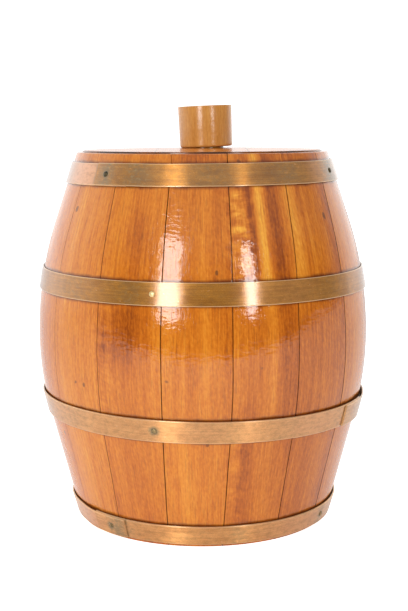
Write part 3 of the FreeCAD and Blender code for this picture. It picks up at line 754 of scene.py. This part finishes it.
def nail_metal(name, dark, light):
    """Brass nail or screw heads with verdigris in the hollows."""
    s = Shader(name)
    place = s.object_coordinates()
    spots = s.noise(place, (900.0, 900.0, 900.0), 4.0, 0.7)
    colour = s.mix(s.remap(spots, 0.4, 0.65), dark, light)
    colour = s.mix(s.remap(spots, 0.30, 0.40, 0.7, 0.0), colour, (0.10, 0.13, 0.09, 1.0))
    s.set(Base_Color=colour, Metallic=0.9, Roughness=s.remap(spots, 0.3, 0.7, 0.55, 0.30))
    s.set(Normal=s.bump(spots, 0.0001))
    return s.material


# Stains along the strips: bearing and half width in degrees, strength.
STAINS = {
    "hoop_top": [
        (-41.0, 4.0, 0.75),
        (-26.0, 6.0, 0.55),
        (36.0, 8.0, 0.35),
        (67.0, 7.0, 0.80),
        (3.0, 10.0, 0.25),
    ],
    "hoop_upper_bilge": [(-24.0, 5.0, 0.35), (-48.0, 9.0, 0.20), (104.0, 5.0, 0.40), (48.0, 12.0, 0.15)],
    "hoop_lower_bilge": [(-50.0, 7.0, 0.18), (72.0, 6.0, 0.40), (30.0, 5.0, 0.10)],
    "hoop_base": [(-37.5, 4.0, 0.70), (14.0, 4.0, 0.30), (60.0, 3.0, 0.50)],
}
# Redder lengths of strip, given in the same way.
COPPERY = {
    "hoop_top": [(-58.0, 15.0, 1.1), (52.0, 6.0, 0.25)],
    "hoop_upper_bilge": [(30.0, 14.0, 0.2)],
    "hoop_lower_bilge": [(-58.0, 20.0, 0.35), (0.0, 40.0, 0.25), (40.0, 14.0, 0.5)],
    "hoop_base": [(-60.0, 22.0, 0.8), (45.0, 20.0, 0.5)],
}


def spots_at(spots, bearing):
    """Sum of soft-edged spots at bearings in degrees."""
    total = np.zeros_like(bearing)
    for centre, half, strength in spots:
        away = (bearing - centre + 180.0) % 360.0 - 180.0
        total += strength * np.exp(-((away / half) ** 2))
    return total


def strip_outline(width):
    """Closed outline (up, out) of the strip's section. Extra points keep its outer face flat."""
    edge = 0.00032
    across = (0.0, 0.0007, width * 0.3, width * 0.7, width - 0.0007, width)
    outer = [(up, STRIP_THICKNESS) for up in across]
    return rounded([(0.0, 0.0), *outer, (width, 0.0)], {0: edge / 2, 1: edge, 6: edge, 7: edge / 2}, 3)


def make_hoop(name, material):
    hoop = HOOPS[name]
    foot, up, out, width = hoop_frame(hoop)
    lap_angle = LAP_LENGTH / hoop.low_radius
    outline = strip_outline(width)
    from_edge = np.minimum(outline[:, 0], width - outline[:, 0])
    # Marks the edges that are painted lighter, partly as wear and partly as a painted highlight.
    worn = np.where(from_edge < 0.0004, 1.0, 0.0)
    rows, strip, wear_shade_and_sheen = [], [], []
    for travelled in np.linspace(0.0, 2 * math.pi + lap_angle, HOOP_STEPS):
        bearing = math.radians(hoop.outer_end) + hoop.way * travelled
        local = outline.copy()
        local[:, 0] += float(ripple(travelled % (2 * math.pi), 11 + len(name), 0.00010, 2 * math.pi))
        local[:, 1] += lap_rise(travelled, lap_angle)
        flat = foot + local[:, :1] * up + local[:, 1:] * out
        east, north = direction(bearing)
        rows.append(np.stack([flat[:, 0] * east, flat[:, 0] * north, flat[:, 1]], axis=1))
        degrees = np.full(len(outline), math.degrees(bearing))
        copper = np.clip(spots_at(COPPERY[name], degrees), 0, 1) * (0.2 if travelled < lap_angle else 1.0)
        along = np.full(len(outline), travelled * hoop.low_radius + len(name))
        strip.append(np.stack([along, outline[:, 0], copper], axis=1))
        # Next to the lap's outer end the strip is stained and darkened: painted shade along the step.
        lap_stain_and_shade = 0.5 if travelled > 2 * math.pi - 0.02 else 0.0
        stained = np.clip(spots_at(STAINS[name], degrees) + lap_stain_and_shade, 0, 1)
        lap_step_shade = np.full_like(worn, 0.25 if -0.016 < travelled - 2 * math.pi < 0.0 else 0.0)
        wear_shade_and_sheen.append(np.stack([stained, worn, lap_step_shade], axis=1))
    points = tilted(np.concatenate(rows), hoop)
    faces = swept_faces(len(rows), len(outline))
    if hoop.way < 0:
        faces = [tuple(reversed(face)) for face in faces]
    attributes = {"strip": np.concatenate(strip), "wear_shade_and_sheen": np.concatenate(wear_shade_and_sheen)}
    piece = make_piece(name + "_strip", points, faces, "barrel", attributes)
    put(piece, material)
    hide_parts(name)


NAIL_HEAD = 0.0021
NAIL_DOME = 0.0008
NAIL_SHANK = 0.0008
NAIL_LENGTH = 0.008


def lathe(profile, segments):
    """Points and faces of a profile (radius, height) turned about z, its ends on the axis."""
    turns = np.linspace(0.0, 2 * math.pi, segments, endpoint=False)
    inner = profile[1:-1]
    points = [(0.0, 0.0, profile[0][1])]
    for r, z in inner:
        points += [(r * math.cos(t), r * math.sin(t), z) for t in turns]
    points.append((0.0, 0.0, profile[-1][1]))
    last = len(points) - 1
    faces = []
    for k in range(segments):
        n = (k + 1) % segments
        faces.append((0, 1 + n, 1 + k))
        for i in range(len(inner) - 1):
            a = 1 + i * segments
            b = a + segments
            faces.append((a + k, a + n, b + n, b + k))
        top = 1 + (len(inner) - 1) * segments
        faces.append((top + k, top + n, last))
    return np.array(points), faces


def nail_profile():
    """Point, shank, flat underside and domed head, from the bottom up."""
    rim = 0.00012
    profile = [
        (0.0, -NAIL_LENGTH),
        (0.0003, -NAIL_LENGTH + 0.0004),
        (NAIL_SHANK, -NAIL_LENGTH + 0.0022),
        (NAIL_SHANK, 0.0),
        (NAIL_HEAD * 0.94, 0.0),
        (NAIL_HEAD, rim),
    ]
    for angle in np.linspace(0.15, 0.97, 7) * math.pi / 2:
        profile.append((NAIL_HEAD * math.cos(angle), rim + NAIL_DOME * math.sin(angle)))
    return profile + [(0.0, rim + NAIL_DOME)]


def make_nails(name, material):
    hoop = HOOPS[name]
    shape, shape_faces = lathe(nail_profile(), 28)
    points, faces = [], []
    for number, (seat, outward) in enumerate(nail_seats(hoop)):
        rng = random.Random(len(name) * 10 + number)
        outward += Vector((rng.uniform(-0.06, 0.06), rng.uniform(-0.06, 0.06), rng.uniform(-0.06, 0.06)))
        place = Matrix.Translation(seat) @ outward.to_track_quat("Z", "Y").to_matrix().to_4x4()
        faces += [tuple(index + len(points) for index in face) for face in shape_faces]
        points += [tuple(place @ Vector(p)) for p in shape]
    piece = make_piece(name + "_nail_set", tilted(points, hoop), faces, "barrel")
    put(piece, material)
    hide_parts(name + "_nails")


def make_hoops():
    gold = ((0.61, 0.265, 0.040, 1.0), (0.32, 0.115, 0.013, 1.0), (0.76, 0.39, 0.22, 1.0))
    rosy = ((0.84, 0.425, 0.135, 1.0), (0.48, 0.200, 0.050, 1.0), (0.78, 0.38, 0.19, 1.0))
    # The upper bilge hoop's nails are clean and bright, and have left no rings on the strip.
    aged = strip_metal("aged_brass_strip", [HOOPS["hoop_top"]], gold, 0.75, 1.66)
    lower = [hoop for name, hoop in HOOPS.items() if name not in UPPER_HOOPS]
    rose = strip_metal("rose_brass_strip", lower, rosy, 0.85, 1.5)
    dull = nail_metal("tarnished_nails", (0.14, 0.10, 0.05, 1.0), (0.42, 0.30, 0.14, 1.0))
    black = nail_metal("blackened_nails", (0.03, 0.025, 0.015, 1.0), (0.17, 0.13, 0.07, 1.0))
    clean = nail_metal("worn_nails", (0.60, 0.44, 0.18, 1.0), (0.95, 0.78, 0.42, 1.0))
    heads = {"hoop_top": black, "hoop_upper_bilge": clean, "hoop_lower_bilge": dull, "hoop_base": dull}
    for name in HOOPS:
        make_hoop(name, aged if name in UPPER_HOOPS else rose)
        make_nails(name, heads[name])


# ---------------------------------------------------------------- head, lid and stopper

SPIGOT_RADIUS = 0.0136
SPIGOT_LENGTH = 0.015
STOPPER_HEIGHT = 0.032
STOPPER_FOOT = 0.0207
STOPPER_TOP = 0.0212


def stopper_profile():
    """From the spigot's end to the slightly domed top."""
    corners = [
        (0.0, -SPIGOT_LENGTH),
        (SPIGOT_RADIUS, -SPIGOT_LENGTH),
        (SPIGOT_RADIUS, 0.0),
        (STOPPER_FOOT, 0.0),
        (STOPPER_TOP, STOPPER_HEIGHT),
        (0.0, STOPPER_HEIGHT + 0.0002),
    ]
    eased = rounded(corners, {1: 0.001, 3: 0.002, 4: 0.0005}, 5)
    return [tuple(p) for p in eased]


def make_stopper():
    points, faces = lathe(stopper_profile(), 96)
    place = Matrix.Translation(STOPPER_SEAT) @ Matrix.Rotation(math.radians(-STOPPER_LEAN), 4, "Y")
    points = [tuple(place @ Vector(p)) for p in points]
    piece = make_piece("turned_stopper", points, faces, "stopper")
    put(piece, stopper_wood())
    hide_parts("stopper")


def dress_cad_pieces():
    """Materials for the lid's and the head's parts, which keep their CAD meshes."""
    quarter = math.pi / 2
    batten = bare_wood("bare_batten", (0.0, quarter, 0.0))
    dowel = bare_wood("bare_dowel", (0.0, quarter, 0.0), 0.25)
    looks = {
        "lid_batten_front": batten,
        "lid_batten_back": batten,
        "lid_dowels": dowel,
        "head_dowels": dowel,
        "lid_screws": nail_metal("lid_screws", (0.30, 0.22, 0.10, 1.0), (0.66, 0.48, 0.22, 1.0)),
    }
    for board, side in ((-1, "left"), (0, "centre"), (1, "right")):
        looks[f"lid_board_{side}"] = lid_wood(board)
        looks[f"head_board_{side}"] = bare_wood(f"bare_head_{board}", (quarter, 0.0, 0.3 * board))
    for name, material in looks.items():
        put(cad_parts[name], material)


# ---------------------------------------------------------------- studio


def make_floor():
    """White sheet whose front edge shows as the horizon in the varnish; it glows for the camera."""
    mesh = bpy.data.meshes.new("studio_floor")
    reach = 8.0
    front = -0.91
    corners = [(-reach, front, 0), (reach, front, 0), (reach, reach, 0), (-reach, reach, 0)]
    mesh.from_pydata(corners, [], [(0, 1, 2, 3)])
    floor = bpy.data.objects.new("studio_floor", mesh)
    bpy.context.scene.collection.objects.link(floor)
    s = Shader("studio_floor")
    s.set(Base_Color=(0.95, 0.95, 0.95, 1.0), Roughness=0.8, Specular_IOR_Level=0.0)
    seen = s.node("ShaderNodeLightPath", {}).outputs["Is Camera Ray"]
    s.set(Emission_Color=(1.0, 1.0, 1.0, 1.0), Emission_Strength=s.remap(seen, 0.0, 1.0, 0.22, 0.9))
    mesh.materials.append(s.material)


def make_world():
    """White surround, dim behind the camera and a little to its right so that gloss stays clear."""
    world = bpy.data.worlds.new("studio")
    bpy.context.scene.world = world
    world.use_nodes = True
    n = Nodes(world.node_tree)
    way = n.node("ShaderNodeTexCoord", {}).outputs["Generated"]
    behind = n.node("ShaderNodeVectorMath", {0: way, 1: (-0.34, 1.0, 0.0)}, operation="DOT_PRODUCT")
    around = n.remap(behind.outputs["Value"], -0.34, 0.58, 0.06, 1.38, "SMOOTHSTEP")
    overhead = n.remap(n.split(way)["Z"], 0.10, 0.55, 0.0, 0.64, "SMOOTHSTEP")
    seen = n.node("ShaderNodeLightPath", {}).outputs["Is Camera Ray"]
    strength = n.math("MAXIMUM", n.math("MAXIMUM", around, overhead), seen)
    background = world.node_tree.nodes["Background"]
    n.feed(background.inputs["Color"], (1.0, 1.0, 1.0, 1.0))
    n.feed(background.inputs["Strength"], strength)


def make_softbox(name, bearing, distance, centre_height, width, height, power):
    """Rectangular lamp in watts at a bearing and distance from the barrel, facing its middle."""
    lamp = bpy.data.lights.new(name, "AREA")
    lamp.shape = "RECTANGLE"
    lamp.size = width
    lamp.size_y = height
    lamp.energy = power
    box = bpy.data.objects.new(name, lamp)
    bpy.context.scene.collection.objects.link(box)
    angle = math.radians(bearing)
    box.location = (distance * math.sin(angle), -distance * math.cos(angle), centre_height)
    target = Vector((0.0, 0.0, 0.17))
    box.rotation_euler = (target - box.location).to_track_quat("-Z", "Y").to_euler()


def make_lights():
    make_softbox("softbox_left", -22.5, 1.6, 0.62, 0.42, 0.80, 12.5)
    make_softbox("softbox_right", 32.0, 1.6, 0.58, 0.20, 0.66, 5.6)
    make_softbox("panel_left", -130.0, 1.7, 0.20, 1.5, 1.0, 1.2)
    make_softbox("panel_right", 138.0, 1.7, 0.20, 1.4, 1.0, 1.0)


CAMERA_DISTANCE = 0.949
CAMERA_ABOVE_RIM = 0.0194
CAMERA_PITCH = 8.6
CAMERA_ROLL = 0.25
CAMERA_ASIDE = 0.0010
LENS = 69.8


def make_camera():
    data = bpy.data.cameras.new("camera")
    data.lens = LENS
    data.sensor_width = 36.0
    camera = bpy.data.objects.new("camera", data)
    bpy.context.scene.collection.objects.link(camera)
    camera.location = (CAMERA_ASIDE, -CAMERA_DISTANCE, STAVE_LENGTH + CAMERA_ABOVE_RIM)
    pitch = Matrix.Rotation(math.radians(90.0 - CAMERA_PITCH), 4, "X")
    roll = Matrix.Rotation(math.radians(-CAMERA_ROLL), 4, "Z")
    camera.rotation_euler = (pitch @ roll).to_euler()
    bpy.context.scene.camera = camera


def main():
    bpy.context.scene.view_settings.view_transform = "Standard"
    make_camera()
    make_world()
    make_floor()
    make_lights()
    make_staves()
    make_hoops()
    make_stopper()
    dress_cad_pieces()


main()
